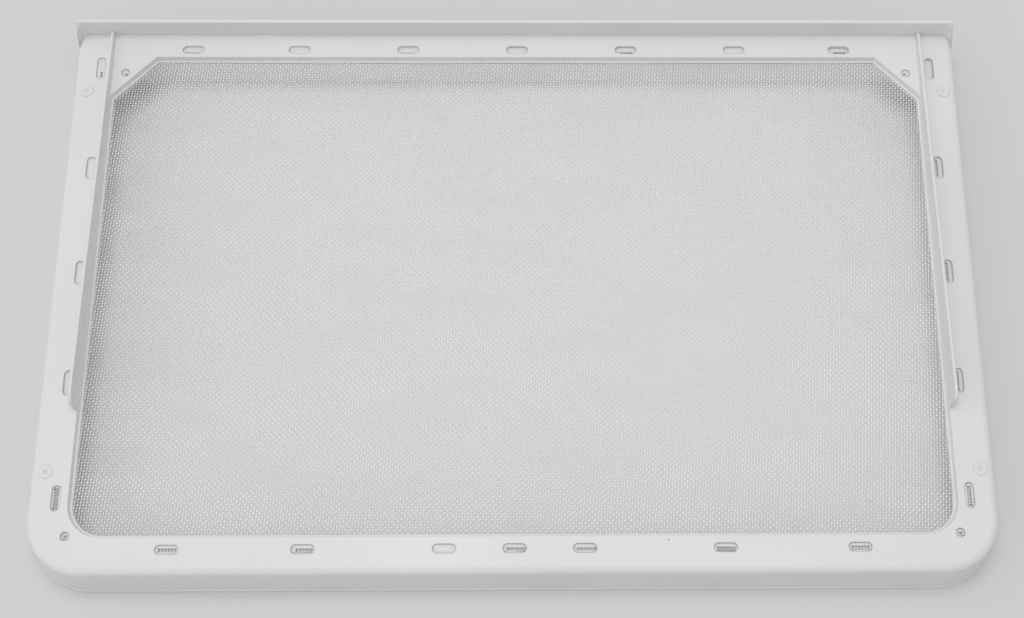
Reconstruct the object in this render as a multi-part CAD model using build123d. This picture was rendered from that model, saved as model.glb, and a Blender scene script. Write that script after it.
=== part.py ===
from build123d import *
import os
from math import radians, sqrt, tan

# Lint filter of a tumble dryer: a moulded tray frame with a woven screen trapped in its rim.
# Millimetres. X runs across, +Y points to the flange, Z is up, and the foot stands on Z = 0.

# Overall size, across the foot of the skirt
overall_width = 455.0
overall_length = 282.0
rim_height = 26.0

# Skirt: it leans out towards its foot, and a small bead runs round the foot
wall = 2.4
draft_angle = 6.5
bead_depth = 0.8
bead_height = 1.6
far_wall_setback = 0.9

# Rim
near_corner_radius = 26.0
rim_edge_radius = 3.8
side_rim = 18.3
near_rim = 17.0
far_rim = 12.8

# Flange that turns up along the far edge, with a gusset in each corner and ends drafted like the skirt
flange_height = 12.7
flange_thickness = 1.8
flange_edge_radius = 0.7
gusset_reach = 6.0

# Opening: chamfered far corners, round near corners, a leaning face down to a narrow ledge
corner_chamfer = 22.0
opening_corner_radius = 16.0
ledge_drop = 3.0
ledge_lean = 0.3
ledge_width = 1.2
lip_thickness = 0.3

# Screen: an open grid of bars, strands standing proud along them, on top lengthwise and below crosswise
mesh_thickness = 0.8
web_thickness = 0.24
mesh_tuck = 9.5
mesh_corner_radius = 14.0
strand_pitch = 2.0
strand_crest = 0.5
strands_per_bar = 4
gap_pitch = 34.0
most_gaps_across = 12
under_layer = 1.1

# Mould windows: round-ended slots above the screen, narrower square ones below it
slot_length = 11.0
side_slot_length = 12.2
slot_width = 4.4
window_margin = 0.9
slot_inset = 5.7
far_slot_inset = 4.3
far_slot_pitch = 55.6
far_slot_end_pitch = 53.9
far_slot_count = 7
near_slot_pitch = 64.5
near_slot_end_pitch = 61.8
near_slot_count = 6
side_slot_pitch = 55.5
side_slot_count = 5
side_slot_start = 6.4

# Pin holes in the rim's corners, measured from the corners of the opening before they are cut
pin_hole_diameter = 4.4
pin_window = 2.2
far_pin_x = 6.8
far_pin_y = 9.0
near_pin_x = 0.2
near_pin_y = 0.6

# Raised rings with a dimple, on the side rims
ring_diameter = 6.4
ring_height = 0.3
dimple_diameter = 2.8
dimple_bottom = 0.8
dimple_depth = 0.9
dimple_sides = 8
ring_edge = 6.6
far_ring_y = 19.2
near_ring_y = 30.7

# Wedge ribs along the inner edges of the side rims
rib_thickness = 1.5
rib_length = 199.0
rib_far_height = 3.6
rib_near_height = 12.4
rib_nose_radius = 6.5
rib_root = 1.0

# Levels and edges worked out from the sizes above
lean = tan(radians(draft_angle))
foot_spread = rim_height * lean
rim_half_width = overall_width / 2 - bead_depth - foot_spread
flange_back = overall_length / 2
flange_face = flange_back - flange_thickness
rim_near = -overall_length / 2 + bead_depth + foot_spread
ledge_level = rim_height - ledge_drop
mesh_top = ledge_level - lip_thickness
mesh_bottom = mesh_top - mesh_thickness
rim_underside = mesh_bottom - under_layer
open_half_width = rim_half_width - side_rim
open_far = flange_face - far_rim
open_near = rim_near + near_rim
screen_inset = ledge_lean + ledge_width
far_wall_face = open_far - far_wall_setback
far_wall_back = far_wall_face + wall


def block(x0, x1, y0, y1, z0, z1):
    """A box between two corners."""
    centre = ((x0 + x1) / 2, (y0 + y1) / 2, (z0 + z1) / 2)
    return Pos(*centre) * Box(x1 - x0, y1 - y0, z1 - z0)


def tray_outline(spread, far_y):
    """The tray's plan, grown by a spread on both sides and at the near end."""
    half = rim_half_width + spread
    near_y = rim_near - spread
    plan = Pos(0, (near_y + far_y) / 2) * Rectangle(2 * half, far_y - near_y)
    return fillet(plan.vertices().group_by(Axis.Y)[0], near_corner_radius + spread)


def opening_outline(inset):
    """The opening's plan, moved in by an inset all round."""
    half = open_half_width - inset
    near_y = open_near + inset
    far_y = open_far - inset
    plan = Pos(0, (near_y + far_y) / 2) * Rectangle(2 * half, far_y - near_y)
    plan = fillet(plan.vertices().group_by(Axis.Y)[0], opening_corner_radius - inset)
    return chamfer(plan.vertices().group_by(Axis.Y)[-1], corner_chamfer - inset * (2 - sqrt(2)))


def mesh_outline():
    """The screen's plan: a sheet that runs under the rim, past the slots."""
    half = open_half_width + mesh_tuck
    near_y = open_near - mesh_tuck
    far_y = open_far + mesh_tuck
    plan = Pos(0, (near_y + far_y) / 2) * Rectangle(2 * half, far_y - near_y)
    return fillet(plan.vertices().group_by(Axis.Y)[0], mesh_corner_radius)


def tray_shell():
    """Rim plate and skirt in one wall, with the far wall set in under the rim."""
    top = Pos(0, 0, rim_height) * tray_outline(0, flange_back)
    foot = tray_outline(foot_spread, flange_back)
    shell = loft([foot, top], ruled=True)
    rim_edges = shell.faces().sort_by(Axis.Z)[-1].edges().sort_by(Axis.Y)[:-1]
    shell = fillet(rim_edges, rim_edge_radius)
    bead = extrude(tray_outline(foot_spread + bead_depth, far_wall_back), bead_height)
    reach = overall_width
    behind = block(-reach, reach, far_wall_back, flange_back + wall, -wall, rim_underside)
    hollow_top_spread = (rim_height - rim_underside) * lean - wall
    hollow_top = Pos(0, 0, rim_underside) * tray_outline(hollow_top_spread, far_wall_face)
    hollow = loft([tray_outline(foot_spread - wall, far_wall_face), hollow_top], ruled=True)
    return shell - behind + bead - hollow


def flange():
    """The upturned strip on the far edge, and the gussets that end it."""
    root = rim_height - rim_edge_radius
    top = rim_height + flange_height
    front = flange_face - gusset_reach
    reach = overall_width / 2
    strip = block(-reach, reach, flange_face, flange_back, root, top)
    edge_radius = min(flange_edge_radius, 0.45 * flange_thickness)
    strip = fillet(strip.faces().sort_by(Axis.Z)[-1].edges().filter_by(Axis.X), edge_radius)
    slope = make_face(Polyline(
        (flange_face, root), (flange_face, top), (front, rim_height), (front, root), close=True))
    for side in (-1, 1):
        inner = side * (rim_half_width - gusset_reach)
        wedge = extrude(Plane.YZ.offset(inner) * slope, side * 2 * gusset_reach)
        scoop = Pos(inner, front, root) * Cylinder(
            gusset_reach, flange_height + rim_edge_radius, align=(Align.CENTER, Align.CENTER, Align.MIN))
        strip += wedge - scoop
    low = rim_half_width + rim_edge_radius * lean
    high = rim_half_width - flange_height * lean
    ends = make_face(Polyline((-low, root), (low, root), (high, top), (-high, top), close=True))
    return strip & extrude(Plane.XZ.offset(-flange_back) * ends, flange_back - front)


def ribs():
    """Two wedge ribs, flush with the opening's sides, that rise towards their rounded near ends."""
    far_y = flange_face + flange_thickness / 2
    near_y = flange_face - rib_length
    root = rim_height - rib_root
    profile = make_face(Polyline(
        (far_y, root), (far_y, rim_height + rib_far_height),
        (near_y, rim_height + rib_near_height), (near_y, root), close=True))
    nose = profile.vertices().group_by(Axis.X)[0].sort_by(Axis.Y)[-1]
    profile = fillet(nose, min(rib_nose_radius, 0.9 * rib_near_height))
    right = extrude(Plane.YZ.offset(open_half_width) * profile, rib_thickness)
    return [right, mirror(right, Plane.YZ)]


def slot_row(count, pitch, end_pitch):
    """Places along a row, evenly spaced apart from its two end spaces."""
    inner = [pitch * (k - (count - 1) / 2) for k in range(1, count - 1)]
    last = inner[-1] + end_pitch
    return [-last, *inner, last]


def slot_places():
    """Plan position, length and turn of every mould window."""
    places = []
    far_y = open_far + far_slot_inset
    near_y = open_near - slot_inset
    side_x = open_half_width + slot_inset
    for x in slot_row(far_slot_count, far_slot_pitch, far_slot_end_pitch):
        places.append((x, far_y, slot_length, 0))
    for x in slot_row(near_slot_count, near_slot_pitch, near_slot_end_pitch):
        places.append((x, near_y, slot_length, 0))
    places.append((0, near_y, slot_length, 0))
    for k in range(side_slot_count):
        y = open_far - side_slot_start - side_slot_pitch * k
        places.append((-side_x, y, side_slot_length, 90))
        places.append((side_x, y, side_slot_length, 90))
    return places


def pin_places():
    """Plan position of the four pin holes."""
    far_x = open_half_width - far_pin_x
    near_x = open_half_width - near_pin_x
    places = []
    for side in (-1, 1):
        places.append((side * far_x, open_far - far_pin_y))
        places.append((side * near_x, open_near + near_pin_y))
    return places


def mould_windows():
    """Cuts above and below the screen where the mould held it."""
    above = Sketch()
    below = Sketch()
    trim = 2 * window_margin
    for x, y, length, turn in slot_places():
        place = Pos(x, y) * Rot(0, 0, turn)
        above += place * SlotOverall(length, slot_width)
        below += place * Rectangle(length - trim, slot_width - trim)
    for x, y in pin_places():
        above += Pos(x, y) * Circle(pin_hole_diameter / 2)
        below += Pos(x, y) * Rectangle(pin_window, pin_window)
    upper = extrude(Pos(0, 0, mesh_top) * above, rim_height - mesh_top)
    lower = extrude(Pos(0, 0, rim_underside) * below, under_layer)
    return upper + lower


def rings():
    """Low round pads with a dimple."""
    pads = []
    bores = []
    x = rim_half_width - ring_edge
    for side in (-1, 1):
        for y in (open_far - far_ring_y, open_near + near_ring_y):
            place = Pos(side * x, y, rim_height)
            pads.append(place * Cylinder(
                ring_diameter / 2, ring_height, align=(Align.CENTER, Align.CENTER, Align.MIN)))
            mouth = place * Pos(0, 0, ring_height) * RegularPolygon(dimple_diameter / 2, dimple_sides)
            bottom = place * Pos(0, 0, ring_height - dimple_depth) * RegularPolygon(
                dimple_bottom / 2, dimple_sides)
            bores.append(loft([bottom, mouth], ruled=True))
    return pads, bores


def opening_cut():
    """The leaning face, the ledge and the clear opening below it."""
    top = Pos(0, 0, rim_height) * opening_outline(0)
    foot = Pos(0, 0, ledge_level) * opening_outline(ledge_lean)
    upper = loft([foot, top], ruled=True)
    lower = extrude(Pos(0, 0, rim_underside) * opening_outline(screen_inset), ledge_level - rim_underside)
    return upper + lower


def frame():
    """The whole moulding."""
    slit = extrude(Pos(0, 0, mesh_bottom) * mesh_outline(), mesh_thickness)
    pads, dimples = rings()
    body = tray_shell() + flange() + pads
    body = body - opening_cut() - slit - mould_windows() - dimples
    return body + ribs()


def bar_places(span):
    """Middles of the bars that share out a span into even gaps."""
    gaps = max(1, min(most_gaps_across, round(span / gap_pitch)))
    return [span * (k / gaps - 0.5) for k in range(1, gaps)]


def bar_section(span):
    """Section of a row of bars: strands with V furrows between them, on a web below their crests."""
    half = strand_crest / 2
    reach = strand_pitch / 2
    rise = (mesh_thickness - web_thickness) / 2
    row = Sketch()
    for place in bar_places(span):
        points = []
        for k in range(strands_per_bar):
            middle = place + strand_pitch * (k - (strands_per_bar - 1) / 2)
            points += [(middle - reach, 0), (middle - half, rise), (middle + half, rise)]
        edge = strand_pitch * strands_per_bar / 2
        points += [(place + edge, 0), (place + edge, -web_thickness), (place - edge, -web_thickness)]
        row += make_face(Polyline(*points, close=True))
    return row


def mesh_screen():
    """One woven wall: a flat border held in the rim, and bars of strands across the opening."""
    sheet = extrude(Pos(0, 0, mesh_bottom) * mesh_outline(), mesh_thickness)
    field = extrude(Pos(0, 0, mesh_bottom) * opening_outline(screen_inset), mesh_thickness)
    width = 2 * (open_half_width - screen_inset)
    length = open_far - open_near - 2 * screen_inset
    middle = (open_far + open_near) / 2
    web_top = (mesh_top + mesh_bottom + web_thickness) / 2
    along = Plane((0, middle, web_top), x_dir=(1, 0, 0), z_dir=(0, -1, 0))
    across = Plane((0, middle, web_top - web_thickness), x_dir=(0, 1, 0), z_dir=(-1, 0, 0))
    lengthwise = extrude(along * bar_section(width), length, both=True)
    crosswise = extrude(across * bar_section(length), width, both=True)
    return (sheet - field) + (field & (lengthwise + crosswise))


os.makedirs("parts", exist_ok=True)
export_step(frame(), "parts/frame.step")
export_step(mesh_screen(), "parts/mesh_screen.step")
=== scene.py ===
import math
import bpy
import numpy as np
from mathutils import Matrix, Vector


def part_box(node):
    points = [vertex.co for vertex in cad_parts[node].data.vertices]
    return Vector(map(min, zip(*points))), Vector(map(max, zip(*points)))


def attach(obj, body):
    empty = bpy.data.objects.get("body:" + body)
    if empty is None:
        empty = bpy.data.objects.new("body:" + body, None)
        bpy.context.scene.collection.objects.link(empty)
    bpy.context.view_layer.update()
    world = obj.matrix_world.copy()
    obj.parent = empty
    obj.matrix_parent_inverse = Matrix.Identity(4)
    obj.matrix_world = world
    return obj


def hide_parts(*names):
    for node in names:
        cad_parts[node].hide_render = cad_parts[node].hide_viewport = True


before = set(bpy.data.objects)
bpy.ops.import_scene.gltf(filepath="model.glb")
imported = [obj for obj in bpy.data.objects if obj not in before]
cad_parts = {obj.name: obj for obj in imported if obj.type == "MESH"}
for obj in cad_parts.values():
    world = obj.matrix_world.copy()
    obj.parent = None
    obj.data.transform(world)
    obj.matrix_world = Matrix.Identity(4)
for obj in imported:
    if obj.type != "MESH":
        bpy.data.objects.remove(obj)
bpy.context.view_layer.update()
sheetLow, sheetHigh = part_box("mesh_screen")
print("frame loaded:", sorted(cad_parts))


class Wire:  # an output socket that can stand in a sum
    def __init__(self, graph, socket):
        self.graph = graph
        self.socket = socket

    def sum(self, operation, first, second):
        return self.graph.node("Math", {"operation": operation}, {0: first, 1: second})

    def __add__(self, other):
        return self.sum("ADD", self, other)

    def __radd__(self, other):
        return self.sum("ADD", other, self)

    def __sub__(self, other):
        return self.sum("SUBTRACT", self, other)

    def __rsub__(self, other):
        return self.sum("SUBTRACT", other, self)

    def __mul__(self, other):
        return self.sum("MULTIPLY", self, other)

    def __rmul__(self, other):
        return self.sum("MULTIPLY", other, self)

    def __truediv__(self, other):
        return self.sum("DIVIDE", self, other)

    def __rtruediv__(self, other):
        return self.sum("DIVIDE", other, self)


class Graph:  # the node tree of one finish
    def __init__(self, tree):
        self.tree = tree

    def feed(self, socket, value):
        if isinstance(value, Wire):
            self.tree.links.new(value.socket, socket)
        else:
            socket.default_value = value

    def node(self, kind, settings, sockets, out=0):
        made = self.tree.nodes.new("ShaderNode" + kind)
        for name, value in settings.items():
            if name == "stops":
                self.setStops(made.color_ramp, value)
            else:
                setattr(made, name, value)
        for name, value in sockets.items():
            self.feed(made.inputs[name], value)
        return Wire(self, made.outputs[out])

    def setStops(self, ramp, stops):
        while len(ramp.elements) < len(stops):
            ramp.elements.new(0.5)
        for element, (place, level) in zip(ramp.elements, stops):
            element.position = place
            element.color = (level, level, level, 1)


def newFinish(name, constants):  # a material whose fixed values sit on its shader's own sockets
    material = bpy.data.materials.new(name)
    material.use_nodes = True
    shader = material.node_tree.nodes["Principled BSDF"]
    for socket, value in constants.items():
        shader.inputs[socket].default_value = value
    return material, Graph(material.node_tree), shader


frameLook = {  # white moulding of the frame
    "colour": (0.752, 0.75, 0.742, 1),
    "dull": (0.722, 0.72, 0.71, 1),
    "roughness": 0.38,
    "specular": 0.42,
    "cloudScale": 14,
    "haze": [(0.35, 0), (0.75, 1)],
    "cloudRoughness": 0.10,
    "grainScale": 2600,
    "grainRoughness": 0.06,
    "grainStrength": 0.35,
    "grainDepth": 0.00001,
    "edgeRadius": 0.0006,
    "speckPlace": (0.07049, -0.1223, 0.026),  # a dark speck on the near rim
    "speckRadius": 0.0005,
    "speckColour": (0.12, 0.11, 0.10, 1),
}


def makeFramePlastic():
    material, graph, shader = newFinish("framePlastic", {"Specular IOR Level": frameLook["specular"]})
    spot = graph.node("TexCoord", {}, {}, "Object")
    cloud = graph.node("TexNoise", {}, {"Vector": spot, "Scale": frameLook["cloudScale"], "Detail": 4})
    grain = graph.node("TexNoise", {}, {"Vector": spot, "Scale": frameLook["grainScale"], "Detail": 2})
    haze = graph.node("ValToRGB", {"stops": frameLook["haze"]}, {"Fac": cloud})
    colour = graph.node("Mix", {"data_type": "RGBA"}, {
        "Factor": haze, 6: frameLook["colour"], 7: frameLook["dull"]}, 2)
    away = graph.node("VectorMath", {"operation": "DISTANCE"}, {0: spot, 1: frameLook["speckPlace"]}, "Value")
    speck = graph.node("ValToRGB", {"stops": [(0.4, 1), (1, 0)]}, {"Fac": away / frameLook["speckRadius"]})
    colour = graph.node("Mix", {"data_type": "RGBA"}, {
        "Factor": speck, 6: colour, 7: frameLook["speckColour"]}, 2)
    graph.feed(shader.inputs["Base Color"], colour)
    roughness = frameLook["roughness"] + frameLook["cloudRoughness"] * cloud
    graph.feed(shader.inputs["Roughness"], roughness + frameLook["grainRoughness"] * (grain - 0.5))
    soft = graph.node("Bevel", {"samples": 6}, {"Radius": frameLook["edgeRadius"]})
    bump = graph.node("Bump", {}, {
        "Strength": frameLook["grainStrength"], "Distance": frameLook["grainDepth"],
        "Height": grain, "Normal": soft})
    graph.feed(shader.inputs["Normal"], bump)
    return material


def dress(thing, material):
    thing.data.materials.clear()
    thing.data.materials.append(material)


framePlastic = makeFramePlastic()
dress(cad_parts["frame"], framePlastic)
print("frame dressed")


screenSet = {  # woven screen, held round its edge in the rim
    "pitchX": 0.0014,        # between lengthwise strands, and between crosswise ones
    "pitchY": 0.00135,
    "warpRadius": 0.00019,
    "weftRadius": 0.00016,
    "tuck": 0.0110,          # from the sheet's cut edge to the edge of the clear opening
    "chamfer": 0.0211,
    "cornerRadius": 0.0145,
    "margin": 0.0013,        # how far a strand runs on under the rim
    "reachX": 1.08,          # grid reach, as shares of the sheet's half width and of its length
    "reachY": 0.56,
    "skew": 0.08,            # sideways run of the lengthwise strands
    "climb": -0.017,         # lengthwise run of the crosswise strands
    "sway": 0.0011,          # strands wander by this much, in long waves
    "waveCount": 7,
    "waveStrength": (0.25, 1.0),
    "waveLength": (0.09, 0.30),
    "seed": 7,
    "strips": 5,             # the cloth is made in strips side by side
    "cutWidth": 0.430,
    "cutLength": 0.266,
    "colour": (0.89, 0.89, 0.885, 1),
    "dull": (0.84, 0.84, 0.84, 1),
    "roughness": 0.25,
    "cloudScale": 22,
    "bandScale": 48,
    "bandTurn": 0.75,
    "bandStretch": 0.4,
    "cover": [(0.35, 0.34), (0.7, 0.46)],  # how much the thread hides what lies under it, higher in slanting bands of painted sheen
}
glintCapSet = {  # painted glints: pale caps on the crowns of the lengthwise strands, standing in for the highlights the light throws there
    "halfWidth": 0.0003,
    "halfLength": 0.0006,
    "rise": 0.00003,
    "drop": 0.00012,
    "turn": 0.35,            # how far the painted glints slant across the strand, and how much that drifts
    "drift": 0.8,
    "seed": 12,
    # colour of the painted glints
    "colour": (0.83, 0.83, 0.825, 1),
    "dull": (0.79, 0.79, 0.79, 1),
    "roughness": 0.25,
    "cloudScale": 22,
    "bandScale": 48,
    "bandTurn": 0.75,
    "bandStretch": 0.4,
    "cover": [(0.36, 0.38), (0.62, 0.8)],
}
windowSet = {  # mould windows, in millimetres: place, open parts (along and across), flooded height
    "length": 11.0,
    "sideLength": 12.2,
    "width": 4.4,
    "outlinePoints": 32,
    "slack": 0.04,           # between a flooded part and the window's wall
    "crown": 0.25,           # height of a flooded part's rounded edge, and its plan at the top
    "crownPlan": 0.94,
    "pinhole": 0.02,
    "lift": 0.02,            # above the sheet's underside
    "beyond": 9,             # past any window's edge
    "cell": 1.4,             # an open part is a row of cells between coated threads
    "thread": 0.22,
    "sunk": 0.3,             # how far those threads, and the cells' floor, lie below the flooded part
    "pit": 1.15,
    "far": [
        (-165.1, 130.7, [(-4.0, 2.2, -9, -1.35)], 2.3),
        (-111.2, 130.7, [], 2.4),
        (-55.6, 130.7, [(-4.0, 1.8, -9, -1.45)], 2.3),
        (0, 130.7, [], 2.0),
        (55.6, 130.7, [(-2.3, 3.6, -2.1, -0.7)], 1.9),
        (111.2, 130.7, [], 2.2),
        (165.1, 130.7, [(-2.2, 3.7, -2.1, -0.3)], 1.5),
    ],
    "near": [
        (-158.55, -125.94, [(-3.8, 4.6, -1.0, 0.6)], 2.7),
        (-96.75, -125.94, [(-3.0, 4.7, -1.5, 0.3)], 2.7),
        (-32.25, -125.94, [], 2.7),
        (0, -125.94, [(-3.6, 1.2, -0.9, 0.4), (1.2, 5.0, -1.5, 0.4)], 2.6),
        (32.25, -125.94, [(-3.6, 5.2, -1.0, 0.3)], 2.6),
        (96.75, -125.94, [(-4.0, 4.4, -1.9, 0.4)], 2.4),
        (158.55, -125.94, [(-4.0, 4.2, -1.2, 0.6)], 2.5),
    ],
    "side": [
        (-211.14, 120, [(-4.6, -1.8, -0.2, 1.0)], 2.9),
        (-211.14, 64.5, [], 2.6),
        (-211.14, 9, [], 2.5),
        (-211.14, -46.5, [(-4.9, 0.6, 0.1, 1.2)], 2.4),
        (-211.14, -102, [(-5.2, 5.0, -1.2, 1.0)], 2.3),
        (211.14, 120, [], 1.6),
        (211.14, 64.5, [(-4.3, 4.6, -1.3, -0.3)], 2.4),
        (211.14, 9, [(-4.8, 4.8, -1.2, 0.0)], 2.4),
        (211.14, -46.5, [(-5.0, 4.6, -0.9, 0.1)], 2.4),
        (211.14, -102, [(-5.2, 4.3, -0.8, 1.0)], 2.4),
    ],
    "pins": [
        (-198.64, 117.4, [(-0.3, 1.1, -1.2, -0.2)], 2.6),
        (198.64, 117.4, [(-1.0, 0.2, -1.0, 0.2)], 2.6),
        (-205.24, -119.64, [(-0.7, 1.0, -1.3, 0.6)], 2.2),
        (205.24, -119.64, [(-0.8, 0.9, -1.2, 0.5)], 2.3),
    ],
}
windowRows = (("far", "length", False), ("near", "length", False),
              ("side", "sideLength", True), ("pins", "width", False))


def openingDepth(x, y):  # how far a point lies outside the clear opening, below 0 inside it
    halfWidth = sheetHigh.x - screenSet["tuck"]
    far = sheetHigh.y - screenSet["tuck"]
    near = sheetLow.y + screenSet["tuck"]
    sideways = np.abs(x) - halfWidth
    straight = np.maximum(sideways, np.maximum(y - far, near - y))
    slanted = (sideways + (y - far) + screenSet["chamfer"]) / math.sqrt(2)
    r = screenSet["cornerRadius"]
    rounded = np.hypot(np.maximum(sideways + r, 0), np.maximum(near + r - y, 0)) - r
    return np.maximum(np.maximum(straight, slanted), rounded)


def makeWaves(seed):  # a few long smooth waves, as (strength, kx, ky, phase)
    rng = np.random.default_rng(seed)
    count = screenSet["waveCount"]
    strength = rng.uniform(*screenSet["waveStrength"], count)
    angle = rng.uniform(0, 2 * math.pi, count)
    length = rng.uniform(*screenSet["waveLength"], count)
    phase = rng.uniform(0, 2 * math.pi, count)
    turn = 2 * math.pi / length
    return strength / strength.sum(), turn * np.cos(angle), turn * np.sin(angle), phase


def wave(waves, x, y):
    strength, kx, ky, phase = waves
    return sum(s * np.sin(a * x + b * y + p) for s, a, b, p in zip(strength, kx, ky, phase))


def weaveGrid():  # where the strands cross, in plan, and which of them passes over
    reachX = int(screenSet["reachX"] * sheetHigh.x / screenSet["pitchX"])
    reachY = int(screenSet["reachY"] * (sheetHigh.y - sheetLow.y) / screenSet["pitchY"])
    column, row = np.meshgrid(np.arange(-reachX, reachX + 1), np.arange(-reachY, reachY + 1), indexing="ij")
    x = column * screenSet["pitchX"]
    y = row * screenSet["pitchY"]
    sway = screenSet["sway"]
    leanX = x + screenSet["skew"] * y + sway * wave(makeWaves(screenSet["seed"]), x, y)
    leanY = y + screenSet["climb"] * x + sway * wave(makeWaves(screenSet["seed"] + 1), x, y)
    over = np.where((column + row) % 2 == 0, 1, -1)
    return leanX, leanY + (sheetLow.y + sheetHigh.y) / 2, over


def newThing(name, verts, faces, smooth):
    mesh = bpy.data.meshes.new(name)
    mesh.vertices.add(len(verts))
    mesh.vertices.foreach_set("co", verts.astype(np.float32).ravel())
    mesh.loops.add(faces.size)
    mesh.loops.foreach_set("vertex_index", faces.astype(np.int32).ravel())
    mesh.polygons.add(len(faces))
    mesh.polygons.foreach_set("loop_start", (4 * np.arange(len(faces))).astype(np.int32))
    mesh.polygons.foreach_set("use_smooth", np.full(len(faces), smooth))
    low = verts[:, :2].min(axis=0)
    spread = (verts[:, :2].max(axis=0) - low).max()
    plan = (verts[faces.ravel(), :2] - low) / spread
    bake = mesh.uv_layers.new(name="OFBake")  # flat plan for baking
    bake.data.foreach_set("uv", plan.astype(np.float32).ravel())
    mesh.update()
    mesh.validate()
    thing = bpy.data.objects.new(name, mesh)
    bpy.context.scene.collection.objects.link(thing)
    return thing


def splitRuns(points, kept):  # the kept stretches of one strand
    cuts = np.flatnonzero(np.diff(np.concatenate([[0], kept.astype(int), [0]])))
    return [points[a:b] for a, b in zip(cuts[::2], cuts[1::2]) if b - a > 2]


def strandThing(name, runs):  # each run of points made into a four-sided thread of its own radius
    verts = []
    faces = []
    start = 0
    for points, radius in runs:
        count = len(points)
        ahead = np.gradient(points, axis=0)
        side = np.stack([ahead[:, 1], -ahead[:, 0], np.zeros(count)], 1)
        side /= np.linalg.norm(side, axis=1)[:, None]
        up = np.cross(side, ahead)
        up /= np.linalg.norm(up, axis=1)[:, None]
        ring = np.stack([points + radius * side, points + radius * up,
                         points - radius * side, points - radius * up], 1)
        verts.append(ring.reshape(-1, 3))
        first = start + 4 * np.arange(count - 1)[:, None]
        corner = np.arange(4)[None, :]
        following = (corner + 1) % 4
        quads = np.stack([first + corner, first + following, first + 4 + following, first + 4 + corner], 2)
        faces.append(quads.reshape(-1, 4))
        start += 4 * count
    return newThing(name, np.concatenate(verts), np.concatenate(faces), True)


def strandRuns(first, last):  # both families of strands between two columns of the grid
    middle = (sheetLow.z + sheetHigh.z) / 2
    warpRadius = screenSet["warpRadius"]
    weftRadius = screenSet["weftRadius"]
    lift = over * (warpRadius + weftRadius) / 2
    warp = np.stack([gridX, gridY, middle + lift], 2)
    weft = np.stack([gridX, gridY, middle - lift], 2)
    runs = []
    for column in range(first, last):
        runs += [(run, warpRadius) for run in splitRuns(warp[column], inOpening[column])]
    for row in range(gridX.shape[1]):
        stretch = slice(first, last + 1), row
        runs += [(run, weftRadius) for run in splitRuns(weft[stretch], inOpening[stretch])]
    return runs


def makeStrandFinish(name, look):  # clear thread, with painted sheen: its cover rises in slanting bands that stand in for glints along the wavy weave
    material, graph, shader = newFinish(name, {"Roughness": look["roughness"]})
    spot = graph.node("TexCoord", {}, {}, "Object")
    cloud = graph.node("TexNoise", {}, {"Vector": spot, "Scale": look["cloudScale"], "Detail": 3})
    colour = graph.node("Mix", {"data_type": "RGBA"}, {
        "Factor": cloud, 6: look["colour"], 7: look["dull"]}, 2)
    graph.feed(shader.inputs["Base Color"], colour)
    turned = graph.node("Mapping", {}, {
        "Vector": spot, "Rotation": (0, 0, look["bandTurn"]), "Scale": (look["bandStretch"], 1, 1)})
    # painted sheen: slanting bands of more cover stand in for glints of light along the wavy weave
    sheenBand = graph.node("TexNoise", {}, {"Vector": turned, "Scale": look["bandScale"], "Detail": 2})
    graph.feed(shader.inputs["Alpha"], graph.node("ValToRGB", {"stops": look["cover"]}, {"Fac": sheenBand}))
    return material


def letLightPast(thing):  # clear thread throws no shadow to speak of
    thing.visible_shadow = False
    thing.visible_diffuse = False


gridX, gridY, over = weaveGrid()
inOpening = openingDepth(gridX, gridY) < screenSet["margin"]
usedColumns = np.flatnonzero(inOpening.any(axis=1))
stripEdges = np.linspace(usedColumns[0], usedColumns[-1] + 1, screenSet["strips"] + 1).astype(int)
strandFinish = makeStrandFinish("screenStrand", screenSet)
total = 0
for k in range(screenSet["strips"]):
    piece = strandThing(f"screen_strip_{k + 1}", strandRuns(stripEdges[k], stripEdges[k + 1]))
    dress(piece, strandFinish)
    letLightPast(piece)
    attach(piece, "root")
    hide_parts("mesh_screen")
    total += 2 * len(piece.data.polygons)
print("screen woven, triangles:", total)


def makeGlintCaps():  # a low roof on each crown, carrying a painted glint
    crown = inOpening & (over > 0)
    x = gridX[crown]
    y = gridY[crown]
    crest = 1.5 * screenSet["warpRadius"] + 0.5 * screenSet["weftRadius"]
    top = (sheetLow.z + sheetHigh.z) / 2 + crest + glintCapSet["rise"]
    turn = glintCapSet["turn"] + glintCapSet["drift"] * wave(makeWaves(glintCapSet["seed"]), x, y)
    aheadX, aheadY = np.sin(turn), np.cos(turn)
    verts = []
    for along in (-glintCapSet["halfLength"], glintCapSet["halfLength"]):
        for across in (-glintCapSet["halfWidth"], 0, glintCapSet["halfWidth"]):
            drop = glintCapSet["drop"] if across else 0
            verts.append(np.stack([
                x + along * aheadX + across * aheadY,
                y + along * aheadY - across * aheadX, np.full(len(x), top - drop)], 1))
    first = 6 * np.arange(len(x))[:, None, None]
    quads = first + np.array([[0, 1, 4, 3], [1, 2, 5, 4]])[None]
    return newThing("screen_glint_caps", np.stack(verts, 1).reshape(-1, 3), quads.reshape(-1, 4), True)


# painted highlights: pale caps on the crowns stand in for the glints of light on the weave
glintCaps = makeGlintCaps()
dress(glintCaps, makeStrandFinish("screenGlintCap", glintCapSet))
letLightPast(glintCaps)
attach(glintCaps, "root")
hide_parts("mesh_screen")
print("knuckles laid, triangles:", 2 * len(glintCaps.data.polygons))


def threadPlaces(start, end):  # where threads part an open stretch into cells
    cells = max(1, round((end - start) / windowSet["cell"]))
    return np.linspace(start, end, cells + 1)[1:-1]


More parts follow.
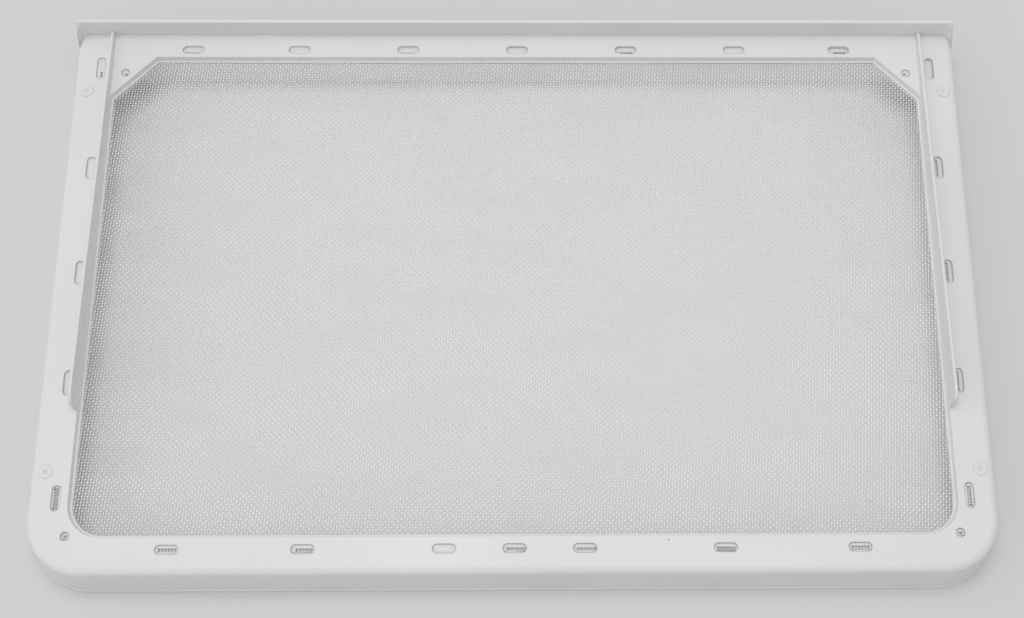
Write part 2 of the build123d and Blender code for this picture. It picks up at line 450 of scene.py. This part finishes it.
def floodBoxes(parts):  # boxes that fill a window round its open cells, each with how far its top is sunk
    beyond = windowSet["beyond"]
    if not parts:
        return [((-beyond, beyond, -beyond, beyond), 0)]
    low = min(part[2] for part in parts)
    high = max(part[3] for part in parts)
    boxes = [(-beyond, beyond, -beyond, low), (-beyond, beyond, high, beyond)]
    threads = []
    pits = [(box, windowSet["pit"]) for box in parts]
    half = windowSet["thread"]
    edge = -beyond
    for u0, u1, v0, v1 in parts:
        boxes += [(edge, u0, low, high), (u0, u1, low, v0), (u0, u1, v1, high)]
        edge = u1
        threads += [(u - half, u + half, v0, v1) for u in threadPlaces(u0, u1)]
        threads += [(u0, u1, v - half, v + half) for v in threadPlaces(v0, v1)]
    boxes.append((edge, beyond, low, high))
    return [(box, 0) for box in boxes] + [(box, windowSet["sunk"]) for box in threads] + pits


def windowOutline(length, box):  # the round-ended outline of a window, cut to a box
    half = windowSet["width"] / 2 - windowSet["slack"]
    straight = (length - windowSet["width"]) / 2
    count = windowSet["outlinePoints"]
    angle = np.linspace(0, 2 * math.pi, count, endpoint=False) + math.pi / count
    u = np.clip(half * np.cos(angle) + straight * np.sign(np.cos(angle)), box[0], box[1])
    v = np.clip(half * np.sin(angle), box[2], box[3])
    fresh = np.hypot(u - np.roll(u, 1), v - np.roll(v, 1)) > 0.01
    return u[fresh], v[fresh]


def makeFloods():  # where the moulding ran up into a window, round the cells it left open
    verts = []
    faces = []
    low = sheetLow.z + 0.001 * windowSet["lift"]
    hole = windowSet["pinhole"]
    for row, length, turned in windowRows:
        for placeX, placeY, parts, height in windowSet[row]:
            for box, sunk in floodBoxes(parts):
                u, v = windowOutline(windowSet[length], box)
                count = len(u)
                if count < 3 or np.ptp(u) < 0.05 or np.ptp(v) < 0.05:
                    continue
                start = len(verts)
                top = sheetHigh.z + 0.001 * (height - sunk)
                edge = top - 0.001 * windowSet["crown"]
                rings = ((hole, low), (1, low), (1, edge), (windowSet["crownPlan"], top), (hole, top))
                for scale, z in rings:
                    plan = [c.mean() + scale * (c - c.mean()) for c in (u, v)]
                    x, y = plan[::-1] if turned else plan
                    verts += [(0.001 * (placeX + a), 0.001 * (placeY + b), z) for a, b in zip(x, y)]
                for k in range(len(rings) - 1):
                    for i in range(count):
                        j = (i + 1) % count
                        quad = [start + k * count + i, start + k * count + j,
                                start + (k + 1) * count + j, start + (k + 1) * count + i]
                        faces.append(quad[::-1] if turned else quad)
    return newThing("window_floods", np.array(verts), np.array(faces), True)


floods = makeFloods()
dress(floods, framePlastic)
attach(floods, "root")
print("windows flooded, triangles:", 2 * len(floods.data.polygons))


studio = {  # floor and light
    "floorSize": 8,
    "floorRoughness": 0.7,
    "floorSpecular": 0.2,
    "floorColour": (0.675, 0.673, 0.686, 1),
    "sky": 0.68,
    "fromLeft": 0.26,        # how much brighter the sky is on the left, and in front
    "fromFront": 0.06,
    "fromSides": 0.45,       # and at both sides
    "leftColour": (1, 1, 1.02, 1),
    "rightColour": (1, 0.997, 0.965, 1),
    "backdrop": 0.2,         # added where the world itself is seen
    "keyPlace": (-0.05, 0.2, 1.9),
    "keySize": 1.0,
    "keyPower": 11,
}


def makeStudio():
    bpy.ops.mesh.primitive_plane_add(size=studio["floorSize"])
    floor = bpy.context.object
    floor.name = "floor"
    material = newFinish("floorPaint", {
        "Base Color": studio["floorColour"], "Roughness": studio["floorRoughness"],
        "Specular IOR Level": studio["floorSpecular"]})[0]
    dress(floor, material)
    world = bpy.data.worlds.new("studio")
    world.use_nodes = True
    graph = Graph(world.node_tree)
    seen = sum(graph.node("LightPath", {}, {}, kind) for kind in (
        "Is Camera Ray", "Is Glossy Ray", "Is Transmission Ray"))
    background = world.node_tree.nodes["Background"]
    way = graph.node("TexCoord", {}, {}, "Generated")
    slant = graph.node("VectorMath", {"operation": "DOT_PRODUCT"}, {
        0: way, 1: (-studio["fromLeft"], -studio["fromFront"], 0)}, "Value")
    aside = graph.node("SeparateXYZ", {}, {0: way}, "X")
    graph.feed(background.inputs["Color"], graph.node("Mix", {"data_type": "RGBA"}, {
        "Factor": 0.5 + 0.5 * aside, 6: studio["leftColour"], 7: studio["rightColour"]}, 2))
    level = 1 + slant + studio["fromSides"] * (aside * aside - 1 / 3)
    graph.feed(background.inputs["Strength"], studio["sky"] * level + studio["backdrop"] * seen)
    bpy.context.scene.world = world
    lamp = bpy.data.lights.new("softbox", "AREA")
    lamp.shape = "DISK"
    lamp.size = studio["keySize"]
    lamp.energy = studio["keyPower"]
    key = bpy.data.objects.new("softbox", lamp)
    bpy.context.scene.collection.objects.link(key)
    key.location = studio["keyPlace"]
    key.rotation_euler = (-Vector(studio["keyPlace"])).to_track_quat("-Z", "Y").to_euler()


view = {  # camera, fitted to the rows of mould windows
    "imageWidth": 1024,
    "focalPixels": 1530.9,
    "elevation": 70.58,
    "yaw": -2.76,
    "roll": -2.49,
    "place": (0.01437, -0.25532, 0.72223),
    "centreX": 58.2,         # pixels from the middle of the picture to the lens axis
}


def makeCamera():
    lens = bpy.data.cameras.new("camera")
    lens.sensor_fit = "HORIZONTAL"
    lens.sensor_width = 36
    lens.lens = view["focalPixels"] * lens.sensor_width / view["imageWidth"]
    lens.shift_x = -view["centreX"] / view["imageWidth"]
    lens.clip_start = 0.01
    camera = bpy.data.objects.new("camera", lens)
    bpy.context.scene.collection.objects.link(camera)
    turn = Matrix.Rotation(math.radians(view["yaw"]), 4, "Z")
    tilt = Matrix.Rotation(math.radians(90 - view["elevation"]), 4, "X")
    roll = Matrix.Rotation(math.radians(-view["roll"]), 4, "Z")
    camera.matrix_world = Matrix.Translation(view["place"]) @ turn @ tilt @ roll
    bpy.context.scene.camera = camera


makeStudio()
makeCamera()
bpy.context.scene.view_settings.view_transform = "Standard"
print("studio set")
